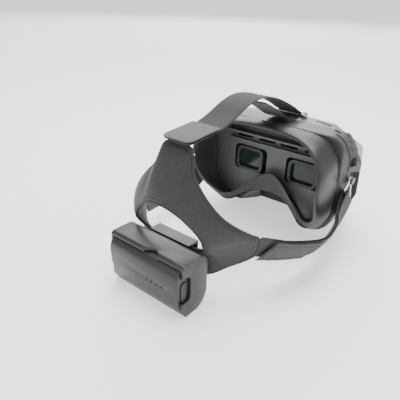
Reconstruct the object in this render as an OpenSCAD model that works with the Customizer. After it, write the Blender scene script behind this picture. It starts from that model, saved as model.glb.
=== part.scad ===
// Video goggles with a head harness and a battery on the back of the head.
// Millimetres. +X is the wearer's right, +Y is the way the wearer looks, +Z is up.
// The origin is under the middle of the whole object, on the surface it rests on.

/* [Goggles housing] */
// half width of the housing at its rear rim
rim_half_w = 76; // [72:1:80]
// height of the top surface above the table
top_z = 110; // [104:1:116]
// thickness of the housing wall
wall = 2.2; // [1.6:0.2:3]
// where the rear housing starts, behind it is the face cushion
rim_y = 46; // [42:1:50]
// where the rear housing meets the front shell
split_y = 72; // [68:1:80]
// where the front of the goggles ends
front_y = 135.2; // [130:0.2:138]

/* [Eyepieces] */
// distance between the two eyepiece centres
eye_sep = 64; // [58:1:70]
// height of the eyepieces above the table
eye_z = 58.5; // [54:0.5:62]
// outer width of one eyepiece barrel
barrel_w = 33; // [30:1:36]
// outer height of one eyepiece barrel
barrel_h = 27; // [24:1:30]
// wall of the eyepiece barrel
barrel_wall = 3; // [2:0.5:4]
// travel of each eyepiece to either side
ipd_travel = 3; // [2:0.5:4]

/* [Controls] */
// radius of the two round buttons on the corner
button_r = 4.2; // [3:0.1:5]
// radius of the battery's light dots
led_r = 0.8; // [0.5:0.1:1.2]

/* [Straps] */
// width of the elastic straps
strap_w = 28; // [24:1:32]
// thickness of one strap layer
strap_t = 1.6; // [1.2:0.1:2.2]
// radius of the wire of the strap rings
wire_r = 1.1; // [0.8:0.1:1.5]
// thickness of the padded head panel
panel_t = 4; // [3:0.5:6]

/* [Battery and holder] */
// battery width, left to right
batt_w = 73; // [70:1:76]
// battery height
batt_h = 41; // [38:1:44]
// battery depth at its thickest
batt_d = 26.2; // [25:0.2:28]
// wall of the battery holder
hold_wall = 2.4; // [2:0.2:3]

/* [Hidden] */
$fn = 48;

graphite = [0.23, 0.23, 0.24];
smoke = [0.62, 0.63, 0.61];
soot = [0.1, 0.1, 0.11];
steel = [0.75, 0.75, 0.73];

hold_back = -131;                 // back edge of the holder's top plate
bay_d = batt_d - 3.6;             // the battery stands out of its bay at the back
front_wall = 6;                   // the holder's wall towards the head panel
hold_front = hold_back + bay_d + front_wall;
hold_half = batt_w / 2 + 2.7;
hold_top = batt_h + 6.6;
batt_back = hold_back - 4.2;
batt_z0 = hold_wall + 0.35;

// ---------- small helpers ----------

function cr(a, b, c, d, t) =
    0.5 * ((2 * b) + (c - a) * t + (2 * a - 5 * b + 4 * c - d) * t * t
    + (3 * b - 3 * c + d - a) * t * t * t);

function spline(p, n) =
    [for (i = [0:len(p) - 2]) for (k = [0:n - 1])
        cr(p[max(i - 1, 0)], p[i], p[i + 1], p[min(i + 2, len(p) - 1)], k / n),
     p[len(p) - 1]];

function loop_spline(p, n) =
    let (m = len(p))
    [for (i = [0:m - 1]) for (k = [0:n - 1])
        cr(p[(i + m - 1) % m], p[i], p[(i + 1) % m], p[(i + 2) % m], k / n)];

// a half outline from the top centre to the bottom centre becomes a whole loop
function both(h) = concat(h, [for (i = [len(h) - 2:-1:1]) [-h[i][0], h[i][1], h[i][2]]]);

function unit(v) = v / norm(v);

// joins rings of points into one closed solid
module skin(rings, closed = false) {
    n = len(rings);
    m = len(rings[0]);
    last = closed ? n - 1 : n - 2;
    sides = [for (i = [0:last]) for (j = [0:m - 1])
        let (a = i * m + j, b = i * m + (j + 1) % m,
             c = ((i + 1) % n) * m + (j + 1) % m, d = ((i + 1) % n) * m + j)
        each [[a, b, c], [a, c, d]]];
    ends = closed ? [] : [[for (j = [m - 1:-1:0]) j], [for (j = [0:m - 1]) (n - 1) * m + j]];
    polyhedron([for (r = rings) each r], concat(sides, ends), convexity = 10);
}

// places along a path: point, direction across the band, normal and tangent
function frames(path, ups, n) =
    let (p = spline(path, n), u = spline(ups, n), k = len(p))
    [for (i = [0:k - 1])
        let (tan = unit(p[min(i + 1, k - 1)] - p[max(i - 1, 0)]),
             up = unit(u[i] - (u[i] * tan) * tan))
        [p[i], up, cross(tan, up), tan]];

// a flat band through a list of points, with the direction across it at each one
module ribbon(p, u, w, t) {
    k = len(p);
    skin([for (i = [0:k - 1])
        let (tan = unit(p[min(i + 1, k - 1)] - p[max(i - 1, 0)]),
             up = unit(u[i] - (u[i] * tan) * tan),
             nor = cross(tan, up), c = p[i])
        [c - up * w / 2 - nor * t / 2, c + up * w / 2 - nor * t / 2,
         c + up * w / 2 + nor * t / 2, c - up * w / 2 + nor * t / 2]]);
}

module tube_bar(a, b, r) {
    v = b - a;
    translate(a)
        rotate([0, acos(v[2] / norm(v)), atan2(v[1], v[0])])
            cylinder(h = norm(v), r = r, $fn = 20);
}

// a plate standing in the X-Z plane with rounded corners, from y0 to y1
module plate_xz(w, h, r, y0, y1) {
    translate([0, y1, 0]) rotate([90, 0, 0]) linear_extrude(y1 - y0) {
        square([w - 2 * r, h], center = true);
        square([w, h - 2 * r], center = true);
        for (sx = [-1, 1]) for (sz = [-1, 1])
            translate([sx * (w / 2 - r), sz * (h / 2 - r)]) circle(r);
    }
}

// ---------- goggles housing ----------

rim_z0 = 10.5;                    // underside of the housing at its rear rim

// ball centres of the housing's outer form for the right half: [x, y, z]
form_pts = [[15, 106, 99], [44, 90, 102.5], [68, 72, 99], [80, 68, 82], [81, 68, 52],
            [72, 72, 30], [56, 88, 7.5], [36, 108, 6.3], [62, front_y - 13.2, 78],
            [62, front_y - 13.2, 40], [34, front_y - 6, 88], [34, front_y - 6, 24]];

// the whole outer form; d grows it and f moves its rear face
module form(d, y0) {
    hull() {
        for (s = [-1, 1]) {
            for (p = form_pts)
                translate([s * p[0], p[1], p[2]]) sphere(6 + d, $fn = 24);
            translate([s * (rim_half_w - 16), y0, top_z - 16])
                rotate([-90, 0, 0]) cylinder(h = 6, r = 16 + d, $fn = 32);
            translate([s * (rim_half_w - 22), y0, rim_z0 + 22])
                rotate([-90, 0, 0]) cylinder(h = 6, r = 22 + d, $fn = 32);
        }
    }
}

// the nose gap under the housing narrows towards the front; d grows it
gap_back = [[44, -20], [38, 10], [24, 24], [8, 32]];
gap_front = [[36, -20], [30, 8], [18, 24], [6, 30]];
function arch_at(half, d, y) =
    concat([for (p = half) [p[0] + d, y, p[1] + (p[1] > 20 ? d : 0)]],
           [for (i = [3:-1:0]) [-half[i][0] - d, y, half[i][1] + (half[i][1] > 20 ? d : 0)]]);
module nose_gap(d) {
    skin([arch_at(gap_back, d, 40), arch_at(gap_back, d, 60), arch_at(gap_front, d, 94 + d)]);
}

// the larger opening just behind the faceplate, where the cushion's nose flap sits
module nose_room(d) {
    translate([0, 59 + d, 0]) rotate([90, 0, 0]) linear_extrude(40)
        polygon([[-50 - d, -20], [-44 - d, 12], [-28 - d, 42], [-10, 60 + d],
                 [10, 60 + d], [28 + d, 42], [44 + d, 12], [50 + d, -20]]);
}

// shallow recess in each side where the strap ring swings; its floor is a flat wall
recess_x = 79.2;
module side_recess(d) {
    for (s = [-1, 1]) hull() for (y = [40, 65]) for (z = [38, 70])
        translate([s > 0 ? recess_x - d : -recess_x + d - 30, y, z])
            rotate([0, 90, 0]) cylinder(h = 30, r = 6 + d, $fn = 32);
}

module shell() {
    difference() {
        form(0, rim_y);
        difference() {
            form(-wall, rim_y - 1);
            nose_gap(wall);
            side_recess(wall);
        }
        nose_gap(0);
        nose_room(0);
        side_recess(0);
    }
}

module beyond(y) {
    translate([-150, y, -50]) cube([300, 200, 250]);
}

// places its children on the rounded top right corner, tilt 0 faces up and 90 faces right
module on_corner(x, y, z, tilt) {
    translate([x, y, z]) rotate([0, tilt, 0]) children();
}

stick_at = [67.5, 70, 104.2, 28];
back_at = [74.2, 61.5, 98.6, 45];
port_at = [79.4, 57, 86, 74];
vent_at = [37, 82.5, 108.6];
stud_y = 56;
stud_z = 69;
jack_at = [-81, 86, 62];
screw_spots = [[30, 103.6], [-30, 103.6], [73.8, 58], [-73.8, 58], [58, 14.2], [-58, 14.2]];

// screw bosses that grow out of the housing's wall, in front of the faceplate
boss_h = 7;
module bosses() {
    intersection() {
        form(-wall / 2, rim_y);
        for (p = screw_spots)
            translate([p[0], face_y + face_t + 0.02, p[1]]) {
                rotate([-90, 0, 0]) cylinder(h = boss_h, r = 3.6, $fn = 24);
                // the two lower bosses stand on a web that reaches the floor
                if (p[1] < 20) translate([-1.6, 0, -9]) cube([3.2, boss_h, 9]);
            }
    }
}

// clearance round the two buttons
module button_holes() {
    for (p = [stick_at, back_at])
        on_corner(p[0], p[1], p[2], p[3]) cylinder(h = 20, r = button_r + 0.4, center = true);
}

module rear_housing() {
    color(graphite) difference() {
        union() {
            shell();
            bosses();
        }
        beyond(split_y);
        for (p = screw_spots)
            translate([p[0], face_y, p[1]]) rotate([-90, 0, 0]) cylinder(h = 9.1, r = 1.15, $fn = 24);
        button_holes();
        on_corner(port_at[0], port_at[1], port_at[2], port_at[3])
            cube([8.4, 7.4, 16], center = true);
        // slots for the eyepiece sliders in the floor
        for (s = [-1, 1])
            translate([s * 45 - 6.4, 65, -5]) cube([12.8, 5.6, 18]);
    }
}

module front_shell() {
    color(smoke) difference() {
        intersection() {
            shell();
            beyond(split_y);
        }
        // air vents in the front face
        for (k = [-2:2])
            translate([k * 7 - 1.5, 110, 44]) cube([3, 40, 26]);
        // window slot in the top
        translate([vent_at[0], vent_at[1], vent_at[2]]) rotate([0, 4, -22])
            cube([23.2, 3.9, 14], center = true);
        button_holes();
        // hole for the power jack in the left side
        translate([jack_at[0] - 6, jack_at[1], jack_at[2]])
            rotate([0, 90, 0]) cylinder(h = 20, r = 5.05);
    }
}

// outline of the housing's rear rim, seen from behind
module rim_outline(d) {
    hull() for (s = [-1, 1]) {
        translate([s * (rim_half_w - 16), top_z - 16]) circle(16 + d, $fn = 32);
        translate([s * (rim_half_w - 22), rim_z0 + 22]) circle(22 + d, $fn = 32);
    }
}

// flat ring on the housing's rim that carries the cushion
module cushion_frame() {
    color(smoke) difference() {
        translate([0, rim_y - 0.02, 0]) rotate([90, 0, 0]) linear_extrude(1.96) difference() {
            rim_outline(-0.3);
            rim_outline(-5.5);
        }
        nose_room(0);
    }
}

// the cushion: lip is the edge next to the face, seat is the outline at the housing
lip = [[0, 29, 106.5], [22, 27.5, 106.5], [42, 24, 104], [57, 18.5, 97], [66.5, 13, 83],
       [69.5, 11, 67], [68, 16, 50], [65, 26, 35], [59, 36, 24], [51, 41, 19.5],
       [42, 45, 21.5], [32, 49, 29], [22, 52, 39], [10, 54, 50], [0, 54.5, 54]];
seat = [[0, 44, 110], [26, 44, 110], [47, 44, 108.5], [62, 44, 103], [72, 44, 90],
        [75, 44, 71], [75, 44, 50], [73, 44, 33], [65, 44, 18.5], [53, 44, 11.5],
        [43, 45, 12], [34, 49, 18], [24, 54, 24], [13, 57.6, 28.5], [0, 58, 30]];

module face_gasket() {
    l = loop_spline(both(lip), 3);
    s = loop_spline(both(seat), 3);
    mid = [0, 44, 62];
    color(soot) skin([for (i = [0:len(l) - 1])
        let (out = unit([s[i][0], 0, s[i][2] - mid[2]]),
             back = [0, -1, 0],
             crest = l[i] + 3.6 * out + 2 * back,
             belly = (crest + s[i]) / 2 + 2.6 * out)
        [s[i] - 5 * out, l[i] * 0.45 + (s[i] - 5 * out) * 0.55 - 0.8 * out, l[i],
         l[i] + 1.2 * out + 1.8 * back, crest, belly, s[i] + 0.6 * out]], true);
}

// inner front wall the eyepieces look out of
face_y = 62;
face_t = 2.4;
rod_y = 84;
rod_dz = 7;
module faceplate() {
    color(soot) difference() {
        union() {
            difference() {
                intersection() {
                    form(-wall - 0.05, rim_y - 1);
                    translate([-100, face_y, 4]) cube([200, face_t, 104]);
                }
                nose_gap(wall + 0.3);
                side_recess(wall + 0.1);
                for (s = [-1, 1])
                    translate([s * eye_sep / 2, 0, eye_z])
                        plate_xz(barrel_w + 2 * ipd_travel + 2, barrel_h + 1.6, 5.5, 50, 80);
                // vent slots above the eyepieces
                for (x = [-41, -13, 13, 41])
                    translate([x - 10, 50, 82]) cube([20, 30, 4.4]);
            }
            // two steps along the brow
            translate([-58, face_y - 5, 78.4]) cube([116, 5, 2]);
            translate([-60, face_y - 9, 88]) cube([120, 9, 2.2]);
            // posts that hold the ends of the eyepieces' guide rods
            for (s = [-1, 1]) for (x = [5, 56])
                translate([s * x + (s < 0 ? -4 : 0), face_y + face_t, eye_z - rod_dz - 3])
                    cube([4, rod_y - face_y - face_t + 3, 2 * rod_dz + 6]);
        }
        for (s = [-1, 1]) for (dz = [-rod_dz, rod_dz])
            translate([s * eye_sep / 2 - 26.1, rod_y, eye_z + dz]) rotate([0, 90, 0])
                cylinder(h = 52.2, r = 1.52, $fn = 24);
        for (p = screw_spots)
            translate([p[0], 50, p[1]]) rotate([-90, 0, 0]) cylinder(h = 20, r = 1.25, $fn = 24);
        button_holes();
    }
}

module guide_rods() {
    color(steel) for (s = [-1, 1]) for (dz = [-rod_dz, rod_dz])
        translate([s * eye_sep / 2 - 26, rod_y, eye_z + dz]) rotate([0, 90, 0])
            cylinder(h = 52, r = 1.5, $fn = 24);
}

// one eyepiece barrel about its own centre line
module barrel_one() {
    color(soot) difference() {
        union() {
            plate_xz(barrel_w, barrel_h, 6.5, face_y - 2, 80);
            // carriage that slides on the rods
            translate([-9, 80, -10]) cube([18, 7, 20]);
        }
        plate_xz(barrel_w - 2 * barrel_wall, barrel_h - 2 * barrel_wall, 4.5, face_y - 4, 66.5);
        plate_xz(barrel_w - 10, barrel_h - 9, 3, 60, 78.4);
        for (dz = [-rod_dz, rod_dz])
            translate([-20, rod_y, dz]) rotate([0, 90, 0]) cylinder(h = 40, r = 1.55, $fn = 24);
    }
}

module lens_one() {
    color([0.25, 0.33, 0.3, 0.6])
        plate_xz(barrel_w - 2 * barrel_wall - 0.2, barrel_h - 2 * barrel_wall - 0.2, 4.4, 64.4, 66.4);
}

module display_one() {
    color([0.08, 0.1, 0.1])
        plate_xz(barrel_w - 10.2, barrel_h - 9.2, 2.9, 76.6, 78.3);
}

// arm and thumb tab that reach down through the housing floor
module slider_one(s) {
    color(graphite) difference() {
        union() {
            translate([s * 13 - 1.5, 67, -53.6]) cube([3, 1.6, 45.4]);
            translate([s * 13 - 3, 65.4, -54.2]) cube([6, 4.8, 2.6]);
        }
        plate_xz(barrel_w + 0.1, barrel_h + 0.1, 6.5, 50, 90);
    }
}

module at_eye(s) {
    translate([s * eye_sep / 2, 0, eye_z]) children();
}

module barrel_left() { at_eye(-1) barrel_one(); }
module barrel_right() { at_eye(1) barrel_one(); }
module lens_left() { at_eye(-1) lens_one(); }
module lens_right() { at_eye(1) lens_one(); }
module display_left() { at_eye(-1) display_one(); }
module display_right() { at_eye(1) display_one(); }
module slider_left() { at_eye(-1) slider_one(-1); }
module slider_right() { at_eye(1) slider_one(1); }

module main_board() {
    color([0.08, 0.25, 0.14]) difference() {
        translate([-58, 90, 38]) cube([116, 1.6, 56]);
        for (x = [-54, 54]) for (z = [42, 90])
            translate([x, 80, z]) rotate([-90, 0, 0]) cylinder(h = 20, r = 1.3);
    }
}

fan_y = 104;
module fan_housing() {
    color(soot) difference() {
        translate([-20, fan_y, eye_z - 21.5]) cube([40, 9, 40]);
        translate([0, fan_y + 1.2, eye_z - 1.5]) rotate([-90, 0, 0]) cylinder(h = 20, r = 18);
        translate([0, fan_y - 5, eye_z - 1.5]) rotate([-90, 0, 0]) cylinder(h = 20, r = 1.05);
        for (a = [45:90:315])
            translate([11 * cos(a), fan_y - 1, eye_z - 1.5 + 11 * sin(a)])
                rotate([-90, 0, 0]) cylinder(h = 5, r = 3.5);
    }
}

module fan_rotor() {
    color(graphite) translate([0, 0, eye_z - 1.5]) {
        translate([0, fan_y - 0.6, 0]) rotate([-90, 0, 0]) cylinder(h = 5, r = 1);
        translate([0, fan_y + 1.8, 0]) rotate([-90, 0, 0]) cylinder(h = 5.6, r = 7);
        for (a = [0:360 / 7:359]) rotate([0, a, 0])
            translate([6.5, fan_y + 2, -0.5]) rotate([0, 0, 0]) cube([10.5, 5.2, 1]);
    }
}

// trim that wraps the top right corner and carries the controls
module control_strip() {
    color(graphite) difference() {
        intersection() {
            form(0.9, rim_y);
            union() {
                translate([56, 66, 94]) cube([26, 5.6, 24]);
                translate([63, 53, 78]) cube([30, 14, 36]);
            }
        }
        form(0.02, rim_y);
        button_holes();
        on_corner(port_at[0], port_at[1], port_at[2], port_at[3])
            cube([8.4, 7.4, 16], center = true);
    }
}

module vent_insert() {
    color(soot) translate([vent_at[0], vent_at[1], vent_at[2]]) rotate([0, 4, -22])
        translate([-11.5, -1.85, -3.4]) difference() {
            cube([23, 3.7, 2.6]);
            for (k = [0:6]) translate([1.4 + k * 3, 0.8, -1]) cube([2, 2.1, 5]);
        }
}

module port_block() {
    color(soot) on_corner(port_at[0], port_at[1], port_at[2], port_at[3]) {
        translate([-4.1, -3.6, -3.6]) difference() {
            cube([8.2, 7.2, 3.8]);
            translate([1.4, 1.6, 2.2]) cube([5.4, 4, 4]);
        }
    }
}

module power_jack() {
    color(soot) translate(jack_at) rotate([0, 90, 0]) difference() {
        cylinder(h = 9, r = 5);
        translate([0, 0, -1]) cylinder(h = 8.6, r = 2.8);
    }
}

// a knob on a stem, pressed along its own axis
module knob(r) {
    cylinder(h = 2.6, r = r);
    translate([0, 0, -3]) cylinder(h = 3.01, r = r - 1.4);
}

module stick() {
    color(graphite) on_corner(stick_at[0], stick_at[1], stick_at[2], stick_at[3]) {
        knob(button_r);
        translate([0, 0, 2.6]) cylinder(h = 1.2, r1 = button_r - 1.4, r2 = button_r - 2);
    }
}

module back_button() {
    color(graphite) on_corner(back_at[0], back_at[1], back_at[2], back_at[3]) knob(button_r);
}

module housing_screws() {
    color(steel) for (p = screw_spots)
        translate([p[0], face_y - 1.6, p[1]]) rotate([-90, 0, 0]) {
            cylinder(h = 1.59, r = 2.2, $fn = 20);
            cylinder(h = 8.6, r = 1.1, $fn = 20);
        }
}

// ---------- rings that take the straps ----------

lug_y = 88;
module top_lug() {
    color(graphite) difference() {
        for (x = [-12, 12]) translate([x - 2, lug_y - 4, 104]) cube([4, 8, 9.6]);
        form(0.02, rim_y);
        translate([-20, lug_y, 110.8]) rotate([0, 90, 0]) cylinder(h = 40, r = wire_r + 0.06);
    }
}

ring_y = 77.5;
ring_z = 114.2;
module top_ring() {
    color(steel) {
        tube_bar([-16, lug_y, 110.8], [16, lug_y, 110.8], wire_r);
        for (s = [-1, 1]) {
            tube_bar([s * 16, lug_y, 110.8], [s * 16, ring_y, ring_z], wire_r);
            translate([s * 16, lug_y, 110.8]) sphere(wire_r + 0.02, $fn = 20);
            translate([s * 16, ring_y, ring_z]) sphere(wire_r + 0.02, $fn = 20);
        }
        tube_bar([-16, ring_y, ring_z], [16, ring_y, ring_z], wire_r);
    }
}

module stud_one() {
    color(graphite) translate([recess_x + 0.02, stud_y, stud_z]) rotate([0, 90, 0]) {
        cylinder(h = 6.8, r = 2);
        translate([0, 0, 5]) cylinder(h = 1.8, r = 3.6);
    }
}

module right_stud() { stud_one(); }
module left_stud() { mirror([1, 0, 0]) stud_one(); }

// the side ring hangs from the stud: an eye round the stud, two legs and a bar
ring_x = recess_x + 3.6;
bar_a = [ring_x, 46.5, 62];
bar_b = [ring_x, 66.5, 42];
module ring_one() {
    color(steel) {
        translate([ring_x, stud_y, stud_z]) rotate([0, 90, 0])
            rotate_extrude($fn = 32) translate([2.07 + wire_r, 0]) circle(wire_r, $fn = 16);
        tube_bar([ring_x, stud_y - 2.2, stud_z - 2.2], bar_a, wire_r);
        tube_bar([ring_x, stud_y + 1.4, stud_z - 2.8], bar_b, wire_r);
        tube_bar(bar_a, bar_b, wire_r);
        translate(bar_a) sphere(wire_r + 0.02, $fn = 20);
        translate(bar_b) sphere(wire_r + 0.02, $fn = 20);
    }
}

module right_ring() { ring_one(); }
module left_ring() { mirror([1, 0, 0]) ring_one(); }

// ---------- harness ----------

// outer edge and hole edge of the head panel, right half from the top down
edge = [[0, -94, 121], [9, -94.4, 120.4], [14, -95.5, 117], [18.5, -99, 105], [27, -100.5, 95],
        [36, -99.5, 85], [45, -95.5, 75], [54, -88, 66.5], [61.5, -78.5, 59], [65, -72, 54],
        [62.5, -72.5, 40], [56, -80, 34.5], [47, -87, 29], [36, -93.5, 21], [20, -99, 15.5],
        [0, -101, 14]];
hole = [[0, -117, 80], [8, -116.4, 79.2], [15, -115, 76.5], [21, -112.8, 72.5],
        [26, -110.6, 67.8], [30.5, -109, 63.6], [34, -107.8, 59.5], [36.4, -106.8, 55.5],
        [37, -106, 52], [36.8, -104.2, 49], [34.8, -102.4, 46], [30.5, -101.6, 43.8],
        [24, -101.4, 42.2], [16, -101.4, 41.4], [8, -101.5, 41.1], [0, -101.5, 41]];

module head_panel() {
    e = loop_spline(both(edge), 2);
    h = loop_spline(both(hole), 2);
    head = [0, -20, 62];
    color(soot) skin([for (i = [0:len(e) - 1])
        let (m = (e[i] + h[i]) / 2,
             inw = unit([head[0] - m[0] * 0.9, head[1] - m[1], (head[2] - m[2]) * 0.35]),
             bulge = 0.2 + 1.4 * min(1, max(0, (m[2] - 40) / 25)),
             q = m - bulge * inw)
        [h[i], q, e[i], e[i] + (panel_t - 1) * inw, q + panel_t * inw,
         h[i] + (panel_t - 1) * inw]], true);
}

// spring clip of the holder: goes over the lower band of the head panel
clip_w = 43;
clip_t = 1.8;
clip_z = 44.2;                    // underside of the clip's bridge
screw_x = [-15, 15];
module clip_plate() {
    color(graphite) difference() {
        union() {
            translate([-clip_w / 2, -94.2, 22]) cube([clip_w, clip_t, clip_z + clip_t - 22]);
            translate([-clip_w / 2, hold_front - 2, clip_z]) cube([clip_w, -92.4 - hold_front + 2, clip_t]);
            translate([-clip_w / 2, hold_front - 2, 26]) cube([clip_w, clip_t, 20]);
        }
        for (x = screw_x)
            translate([x, hold_front - 5, 34]) rotate([-90, 0, 0]) cylinder(h = 6, r = 1.35, $fn = 24);
    }
}

// centre line of the right side strap, from the ring down and back to the panel
strap_path = [[ring_x, 56.5, 52], [ring_x + 0.5, 47, 42.5], [ring_x + 1.4, 38, 35.5],
              [85.6, 26, 29.5], [86.6, 4, 27], [85.6, -14, 29.6], [80.5, -33, 34.5],
              [73.5, -50, 39], [67.5, -62, 43], [62, -72.5, 46.5]];
strap_up = [[0, -0.71, 0.71], [0.02, -0.7, 0.71], [0.12, -0.58, 0.8], [0.3, -0.4, 0.85],
            [0.48, -0.2, 0.85], [0.46, -0.24, 0.85], [0.4, -0.3, 0.86], [0.36, -0.28, 0.88], [0.32, -0.24, 0.9],
            [0.28, -0.2, 0.93]];

fold_r = wire_r + 0.3 + strap_t / 2;

// half the gap between the two layers, wide at the ring and closing up behind it
function lift(i, n) = i > n ? strap_t / 2 + 0.2
    : strap_t / 2 + 0.2 + (fold_r - strap_t / 2 - 0.2) * (1 - i / n);

// one piece of webbing: out along the outer layer, round the bar and back inside
module side_strap() {
    f = frames(strap_path, strap_up, 5);
    k = len(f) - 1;
    out = [for (i = [k - 6:-1:0]) f[i][0] - lift(i, 10) * f[i][2]];
    turn = [for (a = [30:30:150])
        f[0][0] - fold_r * cos(a) * f[0][2] - fold_r * sin(a) * f[0][3]];
    back = [for (i = [0:k]) f[i][0] + lift(i, 10) * f[i][2]];
    color(soot) ribbon(concat(out, turn, back),
        concat([for (i = [k - 6:-1:0]) f[i][1]], [for (a = turn) f[0][1]],
               [for (i = [0:k]) f[i][1]]), strap_w - 3, strap_t);
}

module right_strap() { side_strap(); }
module left_strap() { mirror([1, 0, 0]) side_strap(); }

// hook and loop tab that closes the side strap on itself
tab_t = 1.2;
module side_tab() {
    f = frames(strap_path, strap_up, 5);
    off = strap_t + 0.3 + tab_t / 2;
    color([0.35, 0.35, 0.36]) ribbon([for (i = [26:39]) f[i][0] - off * f[i][2]],
        [for (i = [26:39]) f[i][1]], strap_w - 3, tab_t);
}

module right_tab() { side_tab(); }
module left_tab() { mirror([1, 0, 0]) side_tab(); }

// top strap: from the panel's tongue over the head, round the ring's bar and back underneath
arch = [[0, -96, 124.8], [0, -78, 126.4], [0, -58, 128], [0, -40, 133], [0, -24, 139.5],
        [0, -8, 143.2], [0, 8, 142.6], [0, 26, 138.6], [0, 46, 131.5], [0, 62, 124.5],
        [0, 71, 119.4]];
under = [[0, 71, 111.3], [0, 62, 112.6], [0, 50, 116.4], [0, 36, 124], [0, 20, 132],
         [0, 6, 138]];
across = [1, 0, 0];

module top_strap() {
    r = fold_r + 0.1;
    turn = [for (a = [-20:22:140])
        [0, ring_y + r * sin(a + 24), ring_z + r * cos(a + 24)]];
    p = concat(spline(arch, 4), turn, spline(under, 4));
    color(soot) ribbon(p, [for (q = p) across], strap_w, strap_t);
}

top_tab_path = spline([[0, -60, 129.8], [0, -78, 128.4], [0, -98, 126.8]], 4);
module top_tab() {
    color([0.6, 0.6, 0.6]) ribbon(top_tab_path, [for (p = top_tab_path) across], strap_w + 1, tab_t);
}

// wire loop on the tongue of the panel that the top strap passes through
module panel_ring() {
    color(steel) tube_bar([-15.8, -93.9, 117.4], [15.8, -93.9, 117.4], wire_r);
}

// ---------- battery and its holder ----------

// radii of the holder's top, at the front and at the lip
crown_r = 9.5;
lip_r = 3;

// side outline of the holder's end walls: y to the front, z up
module end_outline() {
    d = bay_d + front_wall;
    difference() {
        square([d, hold_top]);
        translate([d - 15, 0]) difference() {
            square([16, 15]);
            translate([0, 15]) circle(15);
        }
        translate([d - crown_r, hold_top - crown_r]) difference() {
            square([crown_r + 1, crown_r + 1]);
            circle(crown_r);
        }
        // the lower back corner follows the battery's outline
        polygon([[-1, -1], [4.4, -1], [2.3, 2.8], [-0.1, 6.8], [-1, 9]]);
        // rounded lip over the battery
        translate([-1, hold_top - lip_r]) difference() {
            square([lip_r + 1, lip_r + 1]);
            translate([lip_r + 1, 0]) circle(lip_r);
        }
    }
}

module along_x(x0, x1) {
    translate([x0, hold_back, 0]) multmatrix([[0, 0, 1, 0], [1, 0, 0, 0], [0, 1, 0, 0], [0, 0, 0, 1]])
        linear_extrude(x1 - x0) children();
}

module battery_holder() {
    color(graphite) difference() {
        along_x(-hold_half, hold_half) end_outline();
        // bay for the battery, open to the back
        translate([-batt_w / 2 - 0.35, hold_back - 2, hold_wall])
            cube([batt_w + 0.7, 2 + bay_d, batt_h + 0.9]);
        // both end walls are cut away at the back so the battery's ends can be gripped
        translate([-60, hold_back - 2, 14]) cube([120, 6, 23]);
        hull() for (z = [18.5, 32.5])
            translate([-60, hold_back + 4.5, z]) rotate([0, 90, 0]) cylinder(h = 120, r = 4.5);
        // the floor stops short of the battery's rounded back edge
        translate([-batt_w / 2 - 0.35, hold_back - 2, -1]) cube([batt_w + 0.7, 5.5, 5]);
        // thumb notch in the lip
        translate([6.5, hold_back - 3.4, 40]) cylinder(h = 20, r = 8.2);
        // pocket for the clip's rear leg, and the holes of its screws
        translate([-clip_w / 2 - 0.1, hold_front - 2.1, 25.9]) cube([clip_w + 0.2, 4, clip_z + clip_t - 25.8]);
        for (x = screw_x) translate([x, hold_front - front_wall - 1, 34]) rotate([-90, 0, 0]) {
            cylinder(h = 10, r = 1.35, $fn = 24);
            cylinder(h = 2.8, r = 2.5, $fn = 24);
        }
    }
}

module holder_screws() {
    color(steel) for (x = screw_x) translate([x, hold_front - front_wall + 0.2, 34]) rotate([-90, 0, 0]) {
        cylinder(h = 5.6, r = 1.3, $fn = 20);
        cylinder(h = 1.55, r = 2.4, $fn = 20);
    }
}

module batt_outline() {
    polygon([[6.4, 0], [batt_d - 4.4, 0], [batt_d, 3], [batt_d, batt_h - 1], [batt_d - 1.2, batt_h],
             [5, batt_h], [2.6, batt_h - 1.6], [0.8, batt_h - 4.4], [0, batt_h - 8], [0, 28],
             [0.8, 18], [3, 8], [4, 4]]);
}

module battery_solid(g) {
    translate([-batt_w / 2 + g, batt_back + g, batt_z0 + g])
        multmatrix([[0, 0, 1, 0], [1, 0, 0, 0], [0, 1, 0, 0], [0, 0, 0, 1]])
            linear_extrude(batt_w - 2 * g)
                scale([(batt_d - 2 * g) / batt_d, (batt_h - 2 * g) / batt_h]) batt_outline();
}

led_z = 23.4;
led_x = [4.8, 10.1, 15.5, 20.8];
btn_y = hold_back + 3.6;
btn_z = 23;
sock_y = btn_y + 0.6;

module battery_case() {
    color(graphite) difference() {
        battery_solid(0);
        battery_solid(1.6);
        for (x = led_x) translate([x, batt_back - 2, led_z]) rotate([-90, 0, 0])
            cylinder(h = 6, r = led_r + 0.05, $fn = 24);
        // opening for the power button in the right end
        translate([batt_w / 2 - 4, btn_y, btn_z]) rotate([0, 90, 0]) {
            for (s = [-1, 1]) translate([s * 5.4, 0, 0]) cylinder(h = 8, r = 3.5);
            translate([-5.4, -3.5, 0]) cube([10.8, 7, 8]);
        }
        // opening for the output socket in the left end
        translate([-batt_w / 2 - 2, sock_y, btn_z]) rotate([0, 90, 0]) cylinder(h = 8, r = 4.55);
    }
}

module battery_cells() {
    color([0.3, 0.45, 0.65]) for (z = [13.4, 32.6])
        translate([-31, hold_back + 11.2, z]) rotate([0, 90, 0]) cylinder(h = 63.2, r = 8.6);
}

module battery_board() {
    color([0.08, 0.25, 0.14]) translate([-30, batt_back + 4.6, 14]) cube([62, 1.2, 24]);
}

module battery_leds() {
    color([0.8, 0.85, 0.8]) for (x = led_x)
        translate([x, batt_back + 0.45, led_z]) rotate([-90, 0, 0]) cylinder(h = 4, r = led_r, $fn = 24);
}

module battery_socket() {
    color(soot) translate([-batt_w / 2, sock_y, btn_z]) rotate([0, 90, 0]) difference() {
        cylinder(h = 5, r = 4.5);
        translate([0, 0, -1]) cylinder(h = 5, r = 2.8);
    }
}

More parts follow.
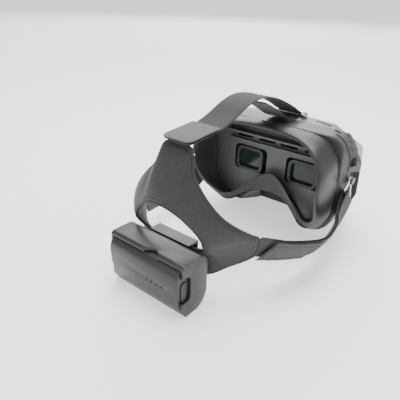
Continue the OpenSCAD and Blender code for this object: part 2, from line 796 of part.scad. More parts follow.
module battery_button() {
    color(soot) translate([batt_w / 2 - 2.6, btn_y, btn_z]) rotate([0, 90, 0]) {
        for (s = [-1, 1]) translate([s * 5.4, 0, 0]) cylinder(h = 3.2, r = 3.15);
        translate([-5.4, -3.15, 0]) cube([10.8, 6.3, 3.2]);
    }
}

rear_housing();
front_shell();
cushion_frame();
face_gasket();
faceplate();
guide_rods();
main_board();
fan_housing();
fan_rotor();
control_strip();
vent_insert();
port_block();
power_jack();
housing_screws();
top_lug();
top_ring();
left_stud();
right_stud();
barrel_left();
lens_left();
display_left();
slider_left();
barrel_right();
lens_right();
display_right();
slider_right();
stick();
back_button();
head_panel();
clip_plate();
left_strap();
right_strap();
left_ring();
right_ring();
left_tab();
right_tab();
top_tab();
panel_ring();
top_strap();
battery_holder();
holder_screws();
battery_case();
battery_cells();
battery_board();
battery_leds();
battery_socket();
battery_button();
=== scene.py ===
# Video goggles with a head harness and a clip-on battery: the looks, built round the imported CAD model.
import math

import bmesh
import bpy
import numpy as np
from mathutils import Matrix, Vector


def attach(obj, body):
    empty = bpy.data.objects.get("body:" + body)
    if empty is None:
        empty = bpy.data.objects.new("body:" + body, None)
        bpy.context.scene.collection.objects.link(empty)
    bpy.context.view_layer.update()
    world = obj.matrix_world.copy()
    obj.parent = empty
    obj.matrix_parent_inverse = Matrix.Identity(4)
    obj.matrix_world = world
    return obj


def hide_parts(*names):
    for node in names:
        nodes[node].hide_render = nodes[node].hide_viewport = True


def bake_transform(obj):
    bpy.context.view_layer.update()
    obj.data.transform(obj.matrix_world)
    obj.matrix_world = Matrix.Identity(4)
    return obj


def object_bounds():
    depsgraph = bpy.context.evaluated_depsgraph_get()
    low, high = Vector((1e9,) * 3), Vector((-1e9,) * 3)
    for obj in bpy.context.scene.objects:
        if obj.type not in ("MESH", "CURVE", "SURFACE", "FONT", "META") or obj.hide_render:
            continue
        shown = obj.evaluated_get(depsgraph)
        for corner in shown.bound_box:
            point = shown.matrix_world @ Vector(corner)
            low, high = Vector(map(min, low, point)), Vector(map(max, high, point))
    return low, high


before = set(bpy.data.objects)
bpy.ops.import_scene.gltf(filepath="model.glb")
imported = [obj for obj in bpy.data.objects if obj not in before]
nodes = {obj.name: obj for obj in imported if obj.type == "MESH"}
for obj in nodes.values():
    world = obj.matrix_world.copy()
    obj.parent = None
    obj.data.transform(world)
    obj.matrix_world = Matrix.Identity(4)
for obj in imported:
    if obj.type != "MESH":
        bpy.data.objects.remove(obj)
cad_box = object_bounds()
MM = 0.001


# ---------- camera, light and floor ----------

# where the camera stands in metres, its azimuth, elevation and roll in degrees, and its lens in mm
CAMERA_AT = (0.2032, -0.3193, 0.2278)
CAMERA_TURN = (38.66, 26.61, 1.86)
CAMERA_LENS = 38.36

# each lamp's name, place, size and power; all face the middle of the object
LAMPS = [("overhead", (-0.05, 0.15, 1.2), 1.0, 20),
         ("right_softbox", (1.1, 0.5, 0.6), 0.7, 1.5),
         ("rear_softbox", (-0.35, -1.3, 0.7), 0.8, 3),
         ("far_softbox", (-1.5, 2.0, 1.85), 2.6, 88)]
MIDDLE = (0, 0, 0.06)


def add_camera():
    azimuth, elevation, roll = (math.radians(v) for v in CAMERA_TURN)
    right = Vector((math.cos(azimuth), math.sin(azimuth), 0))
    up = Vector((-math.sin(azimuth) * math.sin(elevation), math.cos(azimuth) * math.sin(elevation),
                 math.cos(elevation)))
    ahead = Vector((-math.sin(azimuth) * math.cos(elevation), math.cos(azimuth) * math.cos(elevation),
                    -math.sin(elevation)))
    tilted = math.cos(roll) * right + math.sin(roll) * up
    top = -math.sin(roll) * right + math.cos(roll) * up
    data = bpy.data.cameras.new("camera")
    data.sensor_width = 36
    data.lens = CAMERA_LENS
    data.clip_start = 0.01
    data.clip_end = 20
    camera = bpy.data.objects.new("camera", data)
    bpy.context.collection.objects.link(camera)
    turn = Matrix((tilted, top, -ahead)).transposed()
    camera.matrix_world = Matrix.Translation(CAMERA_AT) @ turn.to_4x4()
    bpy.context.scene.camera = camera


def area_light(name, place, size, power):
    data = bpy.data.lights.new(name, "AREA")
    data.shape = "DISK"
    data.size = size
    data.energy = power
    light = bpy.data.objects.new(name, data)
    bpy.context.collection.objects.link(light)
    light.location = place
    light.rotation_euler = (Vector(MIDDLE) - Vector(place)).to_track_quat("-Z", "Y").to_euler()


def add_studio():
    world = bpy.data.worlds.new("studio")
    world.use_nodes = True
    back = world.node_tree.nodes["Background"]
    back.inputs["Color"].default_value = (1, 1, 1, 1)
    back.inputs["Strength"].default_value = 0.55
    bpy.context.scene.world = world
    for name, place, size, power in LAMPS:
        area_light(name, place, size, power)
    bpy.ops.mesh.primitive_plane_add(size=60, location=(0, 0, cad_box[0][2] - 0.0003))
    floor = bpy.context.object
    floor.name = "floor"
    m = bpy.data.materials.new("floor")
    m.use_nodes = True
    shader = m.node_tree.nodes["Principled BSDF"]
    shader.inputs["Base Color"].default_value = (0.92, 0.92, 0.92, 1)
    shader.inputs["Roughness"].default_value = 0.9
    shader.inputs["Emission Color"].default_value = (1, 1, 1, 1)
    shader.inputs["Emission Strength"].default_value = 0.8
    floor.data.materials.append(m)


# ---------- materials ----------

class Nodes:
    """A short way to write a node tree: each call adds one node and returns its output."""

    def __init__(self, name):
        self.material = bpy.data.materials.new(name)
        self.material.use_nodes = True
        self.tree = self.material.node_tree
        self.shader = self.tree.nodes["Principled BSDF"]

    def add(self, kind, values=None, **settings):
        node = self.tree.nodes.new(kind)
        for key, value in settings.items():
            setattr(node, key, value)
        for key, value in (values or {}).items():
            if isinstance(value, bpy.types.NodeSocket):
                self.tree.links.new(value, node.inputs[key])
            else:
                node.inputs[key].default_value = value
        return node

    def place(self):
        return self.add("ShaderNodeTexCoord").outputs["Object"]

    def noise(self, scale, detail=4, rough=0.55, at=None, stretch=None):
        at = at or self.place()
        if stretch:
            at = self.add("ShaderNodeMapping", {"Vector": at, "Scale": stretch}).outputs["Vector"]
        values = {"Vector": at, "Scale": scale, "Detail": detail, "Roughness": rough}
        return self.add("ShaderNodeTexNoise", values).outputs["Fac"]

    def cells(self, scale, at=None):
        values = {"Vector": at or self.place(), "Scale": scale}
        return self.add("ShaderNodeTexVoronoi", values, feature="SMOOTH_F1").outputs["Distance"]

    def math(self, what, a, b=0.0):
        return self.add("ShaderNodeMath", {0: a, 1: b}, operation=what).outputs[0]

    def span(self, value, low, high, to_low=0.0, to_high=1.0):
        values = {"Value": value, "From Min": low, "From Max": high, "To Min": to_low, "To Max": to_high}
        return self.add("ShaderNodeMapRange", values).outputs["Result"]

    def blend(self, factor, a, b):
        node = self.add("ShaderNodeMix", data_type="RGBA")
        self.tree.links.new(factor, node.inputs["Factor"])
        for socket, colour in zip([s for s in node.inputs if s.name in "AB" and s.type == "RGBA"], (a, b)):
            if isinstance(colour, bpy.types.NodeSocket):
                self.tree.links.new(colour, socket)
            else:
                socket.default_value = (*colour, 1)
        return [s for s in node.outputs if s.type == "RGBA"][0]

    def bump(self, height, strength, distance, under=None):
        values = {"Height": height, "Strength": strength, "Distance": distance}
        if under:
            values["Normal"] = under
        return self.add("ShaderNodeBump", values).outputs["Normal"]

    def link(self, output, socket):
        self.tree.links.new(output, self.shader.inputs[socket])

    def set(self, **values):
        for key, value in values.items():
            self.shader.inputs[key.replace("_", " ")].default_value = value


def shade(colour, factor):
    return tuple(min(1.0, c * factor) for c in colour)


# the nose gap's half width, top and front end, in mm; inside them the walls get painted shade
GAP_HALF, GAP_TOP, GAP_FRONT = 45, 34, 97


def moulded_plastic(name, colour, rough=0.45, grain=2600, depth=0.00003, coat=0.0, wear=0.25, gap_shade=None):
    """Satin moulded plastic: a fine sparkle grain, faint mottling, and a few thin pale scuffs.

    The optional last argument is the dark colour painted on the nose gap's walls, where the piece has them:
    painted shade in the recess under the cushion.
    """
    n = Nodes(name)
    broad = n.span(n.noise(34), 0.3, 0.7)
    base = n.blend(broad, shade(colour, 0.95), shade(colour, 1.05))
    streak = n.span(n.noise(310, detail=8, rough=0.75, stretch=(1, 0.22, 0.6)), 0.66, 0.78)
    scuffs = n.math("MULTIPLY", n.math("MULTIPLY", streak, n.span(n.noise(40), 0.5, 0.62)), wear)
    paint = n.blend(scuffs, base, shade(colour, 1.9))
    if gap_shade:
        # painted shade: inside the nose gap the walls take the dark colour, standing in for the shade under
        # the cushion
        at = n.add("ShaderNodeSeparateXYZ", {0: n.place()}).outputs
        middle = n.math("LESS_THAN", n.math("ABSOLUTE", at["X"]), GAP_HALF * MM)
        low = n.math("LESS_THAN", at["Z"], GAP_TOP * MM)
        behind = n.math("LESS_THAN", at["Y"], GAP_FRONT * MM)
        paint = n.blend(n.math("MULTIPLY", middle, n.math("MULTIPLY", low, behind)), paint, gap_shade)
    n.link(paint, "Base Color")
    smudge = n.noise(55, detail=6, stretch=(1, 1.6, 1))
    n.link(n.span(smudge, 0.3, 0.7, rough - 0.05, rough + 0.06), "Roughness")
    spark = n.cells(grain)
    n.link(n.bump(spark, 0.35, depth), "Normal")
    n.set(Coat_Weight=coat, Coat_Roughness=0.25, Specular_IOR_Level=0.36)
    return n.material


def soft_leather(name, colour):
    n = Nodes(name)
    broad = n.span(n.noise(26, detail=3), 0.3, 0.7)
    n.link(n.blend(broad, shade(colour, 0.82), shade(colour, 1.2)), "Base Color")
    pores = n.cells(1500)
    creases = n.noise(420, detail=6, rough=0.6)
    low = n.bump(creases, 0.22, 0.00008)
    n.link(n.bump(pores, 0.32, 0.00005, low), "Normal")
    n.link(n.span(creases, 0.3, 0.7, 0.36, 0.5), "Roughness")
    n.set(Sheen_Weight=0.12, Sheen_Roughness=0.4, Specular_IOR_Level=0.55)
    return n.material


def weave_height(n, across, along):
    """Height of a plain weave; u runs across and v along the webbing, both in metres."""
    uv = n.add("ShaderNodeSeparateXYZ", {0: n.add("ShaderNodeUVMap", uv_map="cloth").outputs["UV"]})
    u = n.math("SINE", n.math("MULTIPLY", uv.outputs["X"], 2 * math.pi / across))
    v = n.math("SINE", n.math("MULTIPLY", uv.outputs["Y"], 2 * math.pi / along))
    return n.add("ShaderNodeMath", {0: u, 1: v, 2: 0.5}, operation="MULTIPLY_ADD").outputs[0]


def webbing(name, colour, across=0.0013, along=0.0019, rough=0.82, depth=0.00016):
    n = Nodes(name)
    height = weave_height(n, across, along)
    fuzz = n.noise(2200, detail=5, rough=0.7)
    tint = n.blend(n.span(height, 0, 1), shade(colour, 0.72), shade(colour, 1.2))
    broad = n.span(n.noise(38), 0.3, 0.7)
    n.link(n.blend(n.math("MULTIPLY", broad, 0.35), tint, shade(colour, 1.3)), "Base Color")
    n.link(n.bump(fuzz, 0.3, 0.0001, n.bump(height, 0.6, depth)), "Normal")
    n.link(n.span(fuzz, 0.3, 0.7, rough - 0.06, rough + 0.08), "Roughness")
    n.set(Sheen_Weight=0.12, Sheen_Roughness=0.5)
    return n.material


def knit(name, colour, rough=0.62):
    """Smooth padded cloth: a fine knit seen only close up, with a soft sheen."""
    n = Nodes(name)
    at = n.place()
    loops = n.cells(1700, n.add("ShaderNodeMapping", {"Vector": at, "Scale": (1, 1, 0.55)}).outputs["Vector"])
    broad = n.span(n.noise(22, detail=5), 0.3, 0.7)
    body = n.blend(broad, shade(colour, 0.86), shade(colour, 1.16))
    n.link(n.blend(n.span(loops, 0.1, 0.6), shade(colour, 0.75), body), "Base Color")
    n.link(n.bump(n.noise(90, detail=3), 0.15, 0.0004, n.bump(loops, 0.35, 0.00009)), "Normal")
    n.link(n.span(n.noise(300), 0.3, 0.7, rough - 0.06, rough + 0.08), "Roughness")
    n.set(Sheen_Weight=0.1, Sheen_Roughness=0.45)
    return n.material


def wire_steel(name):
    n = Nodes(name)
    streaks = n.noise(900, detail=4, stretch=(1, 1, 0.15))
    n.link(n.blend(n.span(streaks, 0.3, 0.7), (0.55, 0.55, 0.53), (0.76, 0.76, 0.74)), "Base Color")
    n.link(n.span(streaks, 0.3, 0.7, 0.18, 0.36), "Roughness")
    n.link(n.bump(streaks, 0.15, 0.00004), "Normal")
    n.set(Metallic=1.0)
    return n.material


def coated_lens(name):
    n = Nodes(name)
    glow = n.span(n.noise(45, detail=2), 0.3, 0.7)
    n.link(n.blend(glow, (0.014, 0.026, 0.022), (0.022, 0.038, 0.033)), "Base Color")
    n.link(n.span(n.noise(700), 0.3, 0.7, 0.06, 0.14), "Roughness")
    n.set(Coat_Weight=0.15, Coat_Roughness=0.08, Specular_IOR_Level=0.3)
    return n.material


def thread(name, colour):
    n = Nodes(name)
    twist = n.noise(3200, detail=3)
    n.link(n.blend(n.span(twist, 0.3, 0.7), shade(colour, 0.75), shade(colour, 1.2)), "Base Color")
    n.link(n.bump(twist, 0.5, 0.0001), "Normal")
    n.set(Roughness=0.75)
    return n.material


def circuit(name):
    n = Nodes(name)
    tracks = n.math("GREATER_THAN", n.cells(190), 0.33)
    n.link(n.blend(tracks, (0.02, 0.14, 0.07), (0.04, 0.22, 0.11)), "Base Color")
    n.link(n.bump(tracks, 0.4, 0.0001), "Normal")
    n.set(Roughness=0.4)
    return n.material


# the dark colour painted on the nose gap's walls of the housing and front shell: painted shade below the
# cushion
GAP_SHADE_COLOUR = (0.02, 0.0205, 0.0225)
housing_plastic = moulded_plastic("housing_plastic", (0.085, 0.087, 0.084), rough=0.36, gap_shade=GAP_SHADE_COLOUR)
shell_plastic = moulded_plastic("shell_plastic", (0.21, 0.214, 0.203), rough=0.36, gap_shade=GAP_SHADE_COLOUR)
frame_plastic = moulded_plastic("frame_plastic", (0.05, 0.051, 0.05), rough=0.4)
trim_plastic = moulded_plastic("trim_plastic", (0.07, 0.072, 0.071), rough=0.32, coat=0.2)
black_plastic = moulded_plastic("black_plastic", (0.07, 0.072, 0.076), rough=0.4, wear=0.15)
# a lighter copy of black_plastic for the faceplate: painted light that brightens the cavity behind the lenses
inner_plastic = moulded_plastic("inner_plastic", (0.135, 0.138, 0.146), rough=0.42, wear=0.15)
hole_black = moulded_plastic("hole_black", (0.008, 0.008, 0.009), rough=0.6, wear=0.0)
bezel_plastic = moulded_plastic("bezel_plastic", (0.05, 0.053, 0.055), rough=0.38, wear=0.25)
holder_plastic = moulded_plastic("holder_plastic", (0.032, 0.033, 0.034), rough=0.32)
battery_plastic = moulded_plastic("battery_plastic", (0.026, 0.027, 0.028), rough=0.34)
button_plastic = moulded_plastic("button_plastic", (0.024, 0.025, 0.026), rough=0.4)
pipe_plastic = moulded_plastic("pipe_plastic", (0.003, 0.003, 0.003), rough=0.7, wear=0.0)
cell_wrap = moulded_plastic("cell_wrap", (0.06, 0.16, 0.4), rough=0.3, coat=0.4, wear=0.0)
cushion_leather = soft_leather("cushion_leather", (0.02, 0.0205, 0.0225))
panel_knit = knit("panel_knit", (0.027, 0.028, 0.03))
binding_tape = webbing("binding_tape", (0.026, 0.027, 0.03), across=0.0009, along=0.0009)
strap_webbing = webbing("strap_webbing", (0.026, 0.0265, 0.031))
side_tab_cloth = webbing("side_tab_cloth", (0.042, 0.043, 0.045), across=0.0007, along=0.0007)
top_tab_cloth = webbing("top_tab_cloth", (0.12, 0.122, 0.124), across=0.0007, along=0.0007)
steel = wire_steel("steel")
glass = coated_lens("glass")
dark_thread = thread("dark_thread", (0.035, 0.035, 0.038))
board_green = circuit("board_green")

CAD_LOOKS = {
    housing_plastic: ["rear_housing", "top_lug", "left_stud", "right_stud"],
    shell_plastic: ["front_shell"],
    frame_plastic: ["cushion_frame"],
    trim_plastic: ["control_strip", "stick", "back_button"],
    inner_plastic: ["faceplate"],
    black_plastic: ["fan_housing", "fan_rotor", "slider_left", "slider_right", "power_jack",
                    "battery_socket", "port_block", "vent_insert"],
    bezel_plastic: ["barrel_left", "barrel_right"],
    hole_black: ["display_left", "display_right"],
    steel: ["guide_rods", "housing_screws", "top_ring", "left_ring", "right_ring", "panel_ring",
            "holder_screws"],
    board_green: ["main_board", "battery_board"],
    glass: ["lens_left", "lens_right"],
    holder_plastic: ["battery_holder", "clip_plate"],
    battery_plastic: ["battery_case"],
    button_plastic: ["battery_button"],
    pipe_plastic: ["battery_leds"],
    cell_wrap: ["battery_cells"],
}


# moulded pieces with broad curved faces, and the angle above which an edge stays sharp
SMOOTH = {"rear_housing": 34, "front_shell": 34, "battery_case": 40, "battery_holder": 40,
          "control_strip": 34, "cushion_frame": 40}


def dress_cad(bevelled):
    """Gives every CAD node that stays its material, and breaks the sharp edges of the moulded ones."""
    for material, names in CAD_LOOKS.items():
        for name in names:
            piece = nodes[name]
            for k in range(len(piece.material_slots)):
                piece.material_slots[k].material = material
            if not piece.material_slots:
                piece.data.materials.append(material)
            width = bevelled.get(name)
            if width or name in SMOOTH:
                weld = piece.modifiers.new("weld", "WELD")
                weld.merge_threshold = 0.00001
            if name in SMOOTH:
                piece.data.polygons.foreach_set("use_smooth", [True] * len(piece.data.polygons))
            if width:
                edge = piece.modifiers.new("edge", "BEVEL")
                edge.width = width
                edge.segments = 3
                edge.limit_method = "ANGLE"
                edge.angle_limit = math.radians(38)
                edge.use_clamp_overlap = True
                edge.harden_normals = False
            if name in SMOOTH:
                split = piece.modifiers.new("creases", "EDGE_SPLIT")
                split.split_angle = math.radians(SMOOTH[name])


# ---------- mesh helpers ----------

def curve(points, steps, closed=False):
    """Catmull-Rom curve through points, in metres."""
    p = np.array(points, float) * MM
    n = len(p)
    out = []
    for i in range(n if closed else n - 1):
        a, b, c, d = (p[(i + k) % n] if closed else p[min(max(i + k, 0), n - 1)] for k in (-1, 0, 1, 2))
        for s in range(steps):
            t = s / steps
            out.append(0.5 * (2 * b + (c - a) * t + (2 * a - 5 * b + 4 * c - d) * t ** 2
                              + (3 * b - 3 * c + d - a) * t ** 3))
    if not closed:
        out.append(p[-1])
    return np.array(out)


def whole_loop(half):
    """The right half of an outline, top to bottom, becomes the whole closed outline."""
    return list(half) + [(-x, y, z) for x, y, z in half[-2:0:-1]]


def unit(v):
    return v / np.maximum(np.linalg.norm(v, axis=-1, keepdims=True), 1e-12)


def add_mesh(name, verts, faces, material, uv=None):
    data = bpy.data.meshes.new(name)
    data.from_pydata([tuple(v) for v in verts], [], faces)
    if uv is not None:
        layer = data.uv_layers.new(name="cloth")
        for loop in data.loops:
            layer.data[loop.index].uv = uv[loop.vertex_index]
    bm = bmesh.new()
    bm.from_mesh(data)
    bmesh.ops.recalc_face_normals(bm, faces=bm.faces)
    bm.to_mesh(data)
    bm.free()
    data.polygons.foreach_set("use_smooth", [True] * len(data.polygons))
    data.materials.append(material)
    piece = bpy.data.objects.new(name, data)
    bpy.context.collection.objects.link(piece)
    return piece


def loft(name, rings, material, closed=False, caps=True, uv=None):
    """Skin over rings of points, each ring a closed section."""
    rings = np.array(rings)
    n, m = rings.shape[:2]
    faces = []
    for i in range(n if closed else n - 1):
        for j in range(m):
            k, l = (i + 1) % n, (j + 1) % m
            faces.append((i * m + j, i * m + l, k * m + l, k * m + j))
    if caps and not closed:
        faces.append(tuple(range(m - 1, -1, -1)))
        faces.append(tuple((n - 1) * m + j for j in range(m)))
    return add_mesh(name, rings.reshape(-1, 3), faces, material, uv)


def subdivide(piece, levels=1):
    m = piece.modifiers.new("smooth", "SUBSURF")
    m.levels = levels
    m.render_levels = levels


def distances(path):
    """How far each point lies along the path."""
    return np.concatenate([[0], np.cumsum(np.linalg.norm(np.diff(path, axis=0), axis=1))])


def tangents(path, closed=False):
    if closed:
        return unit(np.roll(path, -1, 0) - np.roll(path, 1, 0))
    return unit(np.gradient(path, axis=0))


def tube(name, path, radius, material, side=(0, 0, 1), closed=False, flat=1.0, sides=10):
    """Round or flattened tube along a path; side sets the direction of its first radius."""
    path = np.array(path)
    t = tangents(path, closed)
    side = np.broadcast_to(np.array(side, float), path.shape)
    a = unit(side - (side * t).sum(1, keepdims=True) * t)
    b = np.cross(t, a)
    turns = [2 * math.pi * k / sides for k in range(sides)]
    rings = [[p + radius * (math.cos(q) * u + flat * math.sin(q) * v) for q in turns]
             for p, u, v in zip(path, a, b)]
    length = distances(path)
    uv = [(radius * q, s) for s in length for q in turns]
    return loft(name, rings, material, closed, uv=uv)


def webbing_strip(name, path, up, width, thick, material, wave=0.0, taper=None):
    """A woven band: rounded selvedges, slightly thicker edges, and a soft ripple along it."""
    t = tangents(path)
    up = unit(up - (up * t).sum(1, keepdims=True) * t)
    nor = np.cross(t, up)
    length = distances(path)
    h, e = width / 2, thick / 2
    outline = [(-h + 0.5 * e, -e), (-h * 0.6, -0.9 * e), (0, -0.9 * e), (h * 0.6, -0.9 * e),
               (h - 0.5 * e, -e), (h, 0), (h - 0.5 * e, e), (h * 0.6, 0.9 * e),
               (0, 0.9 * e), (-h * 0.6, 0.9 * e), (-h + 0.5 * e, e), (-h, 0)]
    rings, uv = [], []
    for i in range(len(path)):
        ripple = wave * math.sin(length[i] * 70) * math.sin(length[i] * 23 + 1)
        scale = taper(i / (len(path) - 1)) if taper else 1.0
        rings.append([path[i] + x * scale * up[i] + (y + ripple * (x / h) ** 2) * nor[i] for x, y in outline])
        uv += [(x + h, length[i]) for x, _ in outline]
    piece = loft(name, rings, material, uv=uv)
    subdivide(piece)
    return piece


def stitch_row(name, path, lift, material, long=0.0022, gap=0.0012, radius=0.00028):
    """A row of separate thread stitches that lie on the surface under path; lift points off the surface."""
    length = distances(path)
    verts, faces = [], []
    at = gap
    while at + long < length[-1]:
        spots = [at, at + long * 0.2, at + long * 0.5, at + long * 0.8, at + long]
        heights = [-0.4, 0.35, 0.6, 0.35, -0.4]
        p = np.array([[np.interp(s, length, path[:, k]) for k in range(3)] for s in spots])
        up = np.array([[np.interp(s, length, lift[:, k]) for k in range(3)] for s in spots])
        p = p + up * np.array(heights)[:, None] * radius
        t = unit(p[-1] - p[0])
        side = unit(np.cross(t, up[2]))
        base = len(verts)
        for q, u, r in zip(p, up, (0.5, 0.95, 1, 0.95, 0.5)):
            for k in range(6):
                turn = math.pi * k / 3
                verts.append(q + radius * r * (math.cos(turn) * side + math.sin(turn) * u))
        for i in range(4):
            for k in range(6):
                l = (k + 1) % 6
                faces.append((base + i * 6 + k, base + i * 6 + l, base + i * 6 + 6 + l, base + i * 6 + 6 + k))
        faces.append(tuple(base + k for k in range(5, -1, -1)))
        faces.append(tuple(base + 24 + k for k in range(6)))
        at += long + gap
    return add_mesh(name, verts, faces, material)


# ---------- face cushion ----------

# the edge next to the face, and the outline at the housing, right half from the top down, in mm
LIP = [(0, 29, 106.5), (22, 27.5, 106.5), (42, 24, 104), (57, 18.5, 97), (66.5, 13, 83), (69.5, 11, 67),
       (68, 16, 50), (65, 26, 35), (59, 36, 24), (51, 41, 19.5), (42, 45, 21.5), (32, 49, 29),
       (22, 52, 39), (10, 54, 50), (0, 54.5, 54)]
SEAT = [(0, 44, 110), (26, 44, 110), (47, 44, 108.5), (62, 44, 103), (72, 44, 90), (75, 44, 71),
        (75, 44, 50), (73, 44, 33), (65, 44, 18.5), (53, 44, 11.5), (43, 45, 12), (34, 49, 18),
        (24, 54, 24), (13, 57.6, 28.5), (0, 58, 30)]


def build_cushion():
    lip = curve(whole_loop(LIP), 6, closed=True)
    seat = curve(whole_loop(SEAT), 6, closed=True)
    middle = np.array((0, 44, 62)) * MM
    out = unit((seat - middle) * (1, 0, 1))
    back = np.array((0, -1, 0))
    crest = lip + (3.6 * out + 2 * back) * MM
    belly = (crest + seat) / 2 + 2.2 * MM * out
    root = seat - 5 * MM * out
    throat = lip * 0.45 + root * 0.55 - 0.8 * MM * out
    section = [
        root,                                        # inside, at the housing
        root * 0.55 + throat * 0.45,
        throat,
        lip - 0.2 * MM * out + 0.6 * MM * back,       # thin rolled edge next to the face
        lip + (0.7 * out + 1.7 * back) * MM,
        lip + (2.0 * out + 2.2 * back) * MM,
        crest + 0.4 * MM * out,
        (crest + belly) / 2 + 1.0 * MM * out,
        belly,
        (belly + seat) / 2 + 1.1 * MM * out,
        seat + (1.0 * out + 2.2 * back) * MM,         # the cushion pulls in at its sewn seam
        seat + (-0.4 * out + 1.3 * back) * MM,
        seat + (0.7 * out + 0.6 * back) * MM,
        seat + 0.6 * MM * out,
    ]
    rings = np.stack(section, axis=1)
    piece = loft("face_cushion", rings, cushion_leather, closed=True)
    subdivide(piece, 2)
    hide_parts("face_gasket")
    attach(piece, "goggles")
    seam = seat + (0.55 * out + 1.35 * back) * MM
    path = np.vstack([seam, seam[:1]])
    rows = stitch_row("cushion_seam_thread", path, np.vstack([out, out[:1]]), dark_thread)
    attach(rows, "goggles")


# ---------- head panel ----------

EDGE = [(0, -93.6, 123.2), (9, -94, 122.7), (14.4, -95.3, 119), (18.5, -99, 105), (27, -100.5, 95),
        (36, -99.5, 85), (45, -95.5, 75), (54, -88, 66.5), (61.5, -78.5, 59), (65, -72, 54),
        (62.5, -72.5, 40), (56, -80, 34.5), (47, -87, 29), (36, -93.5, 21), (20, -99, 15.5),
        (0, -101, 14)]
HOLE = [(0, -117, 80), (8, -116.4, 79.2), (15, -115, 76.5), (21, -112.8, 72.5), (26, -110.6, 67.8),
        (30.5, -109, 63.6), (34, -107.8, 59.5), (36.4, -106.8, 55.5), (37, -106, 52),
        (36.8, -104.2, 49), (34.8, -102.4, 46), (30.5, -101.6, 43.8), (24, -101.4, 42.2),
        (16, -101.4, 41.4), (8, -101.5, 41.1), (0, -101.5, 41)]
PANEL_T = 4 * MM


def build_panel():
    edge = curve(whole_loop(EDGE), 5, closed=True)
    hole = curve(whole_loop(HOLE), 5, closed=True)
    head = np.array((0, -20, 62)) * MM
    mid = (edge + hole) / 2
    to_head = head - mid
    inward = unit(np.stack([to_head[:, 0] + 0.1 * mid[:, 0], to_head[:, 1], to_head[:, 2] * 0.35], axis=1))
    bulge = (0.2 + 1.4 * np.clip((mid[:, 2] / MM - 40) / 25, 0, 1)) * MM
    steps = [0.0, 0.03, 0.1, 0.22, 0.36, 0.5, 0.64, 0.78, 0.9, 0.97, 1.0]
    outer, inner = [], []
    for t in steps:
        crown = 4 * t * (1 - t)
        pinch = 1 - (1 - min(1, 12 * t * (1 - t))) ** 2
        across = hole * (1 - t) + edge * t
        centre = across + (PANEL_T / 2 - 0.4 * MM) * inward - (crown * bulge)[:, None] * inward * 0.5
        half = (0.35 + 0.65 * pinch) * (PANEL_T / 2 + crown * 0.2 * MM)
        outer.append(centre - half * inward - 0.4 * (crown * bulge)[:, None] * inward)
        inner.append(centre + half * inward)
    rings = np.stack(outer + inner[::-1], axis=1)
    piece = loft("padded_head_panel", rings, panel_knit, closed=True)
    subdivide(piece, 1)
    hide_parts("head_panel")
    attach(piece, "harness")
    for name, line, other in (("panel_edge_binding", edge, hole), ("panel_hole_binding", hole, edge)):
        away = unit(line - other)
        rim = line + (PANEL_T / 2 - 0.4 * MM) * inward - 0.4 * MM * away
        tape = tube(name, rim, 1.5 * MM, binding_tape, side=away, closed=True, flat=1.05, sides=12)
        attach(tape, "harness")
        row = line - 3.4 * MM * away - 0.1 * MM * inward
        row = row - 0.35 * (bulge[:, None] * inward)
        sewn = stitch_row(name.replace("binding", "stitches"), np.vstack([row, row[:1]]),
                          -np.vstack([inward, inward[:1]]), dark_thread)
        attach(sewn, "harness")


# ---------- straps ----------

WIRE_R = 1.1
STRAP_W = 28
SIDE_W = STRAP_W - 3
STRAP_T = 1.6
RING_X = 82.8
FOLD_R = WIRE_R + 0.3 + STRAP_T / 2
STRAP_PATH = [(RING_X, 56.5, 52), (RING_X + 0.5, 47, 42.5), (RING_X + 1.4, 38, 35.5), (85.6, 26, 29.5),
              (86.6, 4, 27), (85.6, -14, 29.6), (80.5, -33, 34.5), (73.5, -50, 39), (67.5, -62, 43),
              (62, -72.5, 46.5)]
STRAP_UP = [(0, -0.71, 0.71), (0.02, -0.7, 0.71), (0.12, -0.58, 0.8), (0.3, -0.4, 0.85),
            (0.48, -0.2, 0.85), (0.46, -0.24, 0.85), (0.4, -0.3, 0.86), (0.36, -0.28, 0.88),
            (0.32, -0.24, 0.9), (0.28, -0.2, 0.93)]
STEPS = 8


def side_frames():
    path = curve(STRAP_PATH, STEPS)
    t = tangents(path)
    up = curve(STRAP_UP, STEPS) / MM
    up = unit(up - (up * t).sum(1, keepdims=True) * t)
    return path, t, up, np.cross(t, up)


def layer_gap(i):
    """Half the distance between the two layers, wide at the ring and closing up behind it."""
    closed = STRAP_T / 2 + 0.2
    return (closed + (FOLD_R - closed) * max(0.0, 1 - i / (2 * STEPS))) * MM


def build_side(side):
    name = "right" if side > 0 else "left"
    mirror = np.array((side, 1, 1))
    path, t, up, nor = side_frames()
    last = len(path) - 1
    end = last - STEPS
    outer = [path[i] - layer_gap(i) * nor[i] for i in range(end, -1, -1)]
    turn = [path[0] - FOLD_R * MM * (math.cos(a) * nor[0] + math.sin(a) * t[0])
            for a in np.radians(range(22, 180, 22))]
    inner = [path[i] + layer_gap(i) * nor[i] for i in range(last + 1)]
    line = np.array(outer + turn + inner)
    ups = np.array([up[i] for i in range(end, -1, -1)] + [up[0]] * len(turn)
                   + [up[i] for i in range(last + 1)])
    width = SIDE_W * MM
    strap = webbing_strip(f"{name}_strap_webbing", line * mirror, ups * mirror, width, STRAP_T * MM * 0.94,
                          strap_webbing, wave=0.0002)
    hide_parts(f"{name}_strap")
    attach(strap, "harness")
    build_side_tab(name, mirror, path, up, nor)


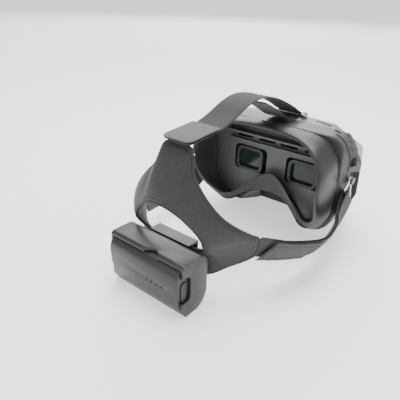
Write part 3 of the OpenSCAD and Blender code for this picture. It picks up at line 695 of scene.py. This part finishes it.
def build_side_tab(name, mirror, path, up, nor):
    """The grey tab on the outer layer, a parallelogram with a stitched border."""
    first, last = int(5.2 * STEPS), int(8.15 * STEPS)
    off = (STRAP_T + 0.3 + 0.6) * MM
    width = SIDE_W * MM
    slant = 7 * MM
    t = tangents(path)
    count = last - first
    shares = (-0.5, -0.49, -0.45, -0.25, 0, 0.25, 0.45, 0.49, 0.5)
    top, under, uv = [], [], []
    for i in range(first, last + 1):
        k = (i - first) / count
        for s in shares:
            shift = slant * s
            p = path[i] - off * nor[i] + s * width * up[i] - shift * t[i]
            edge = min(0.5 - abs(s), k * 2, (1 - k) * 2)
            half = 0.6 * MM * (0.45 + 0.55 * min(1, edge / 0.04))
            top.append(p - half * nor[i])
            under.append(p + half * nor[i])
            uv.append((s * width, k * 0.05))
    m = len(shares)
    n = count + 1
    faces = []
    for i in range(count):
        for j in range(m - 1):
            a = i * m + j
            faces.append((a, a + 1, a + m + 1, a + m))
            b = n * m + a
            faces.append((b, b + m, b + m + 1, b + 1))
    border = ([j for j in range(m)] + [i * m + m - 1 for i in range(1, n)]
              + [(n - 1) * m + j for j in range(m - 2, -1, -1)] + [i * m for i in range(n - 2, 0, -1)])
    for a, b in zip(border, border[1:] + border[:1]):
        faces.append((a, a + n * m, b + n * m, b))
    verts = np.array(top + under) * mirror
    tab = add_mesh(f"{name}_tab_cloth", verts, faces, side_tab_cloth, uv + uv)
    subdivide(tab)
    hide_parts(f"{name}_tab")
    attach(tab, "harness")
    surface = np.array(top).reshape(n, m, 3)
    normal = -nor[first:last + 1]
    lines = [(surface[1:-1, 2] * 0.4 + surface[1:-1, 3] * 0.6, normal[1:-1]),
             (surface[1:-1, 6] * 0.4 + surface[1:-1, 5] * 0.6, normal[1:-1]),
             (surface[1, 2:7], np.repeat(normal[1:2], 5, 0)),
             (surface[-2, 2:7], np.repeat(normal[-2:-1], 5, 0))]
    for k, (line, lift) in enumerate(lines):
        rows = stitch_row(f"{name}_tab_stitches_{k}", line * mirror, lift * mirror, dark_thread)
        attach(rows, "harness")


ARCH = [(0, -96, 124.8), (0, -78, 126.4), (0, -58, 128), (0, -40, 133), (0, -24, 139.5), (0, -8, 143.2),
        (0, 8, 142.6), (0, 26, 138.6), (0, 46, 131.5), (0, 62, 124.5), (0, 71, 119.4)]
UNDER = [(0, 71, 111.3), (0, 62, 112.6), (0, 50, 116.4), (0, 36, 124), (0, 20, 132), (0, 6, 138)]
RING_BAR = (77.5, 114.2)


def build_top_strap():
    r = FOLD_R + 0.1
    turn = [(0, RING_BAR[0] + r * math.sin(a), RING_BAR[1] + r * math.cos(a))
            for a in np.radians(range(4, 166, 18))]
    path = np.vstack([curve(ARCH, 6), np.array(turn) * MM, curve(UNDER, 6)])
    up = np.tile((1.0, 0, 0), (len(path), 1))
    strap = webbing_strip("top_strap_webbing", path, up, STRAP_W * MM, STRAP_T * MM * 0.94, strap_webbing,
                          wave=0.0003)
    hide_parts("top_strap")
    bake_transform(strap)


def build_top_tab():
    path = curve([(0, -60, 129.8), (0, -78, 128.4), (0, -98, 126.8)], 10)
    up = np.tile((1.0, 0, 0), (len(path), 1))
    tab = webbing_strip("top_tab_cloth", path, up, (STRAP_W + 1) * MM, 1.2 * MM, top_tab_cloth,
                        taper=lambda k: 1.0 if k < 0.8 else 1 - 0.25 * ((k - 0.8) / 0.2) ** 2)
    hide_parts("top_tab")
    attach(tab, "harness")


add_camera()
add_studio()
# how wide the bevel on each moulded piece's edges is
dress_cad({"battery_holder": 0.0006, "clip_plate": 0.0004, "battery_case": 0.0005, "battery_button": 0.0006,
           "barrel_left": 0.0005, "barrel_right": 0.0005, "stick": 0.0004, "back_button": 0.0006,
           "port_block": 0.0003, "top_lug": 0.0006, "cushion_frame": 0.0003})
build_cushion()
build_panel()
for side in (-1, 1):
    build_side(side)
build_top_strap()
build_top_tab()
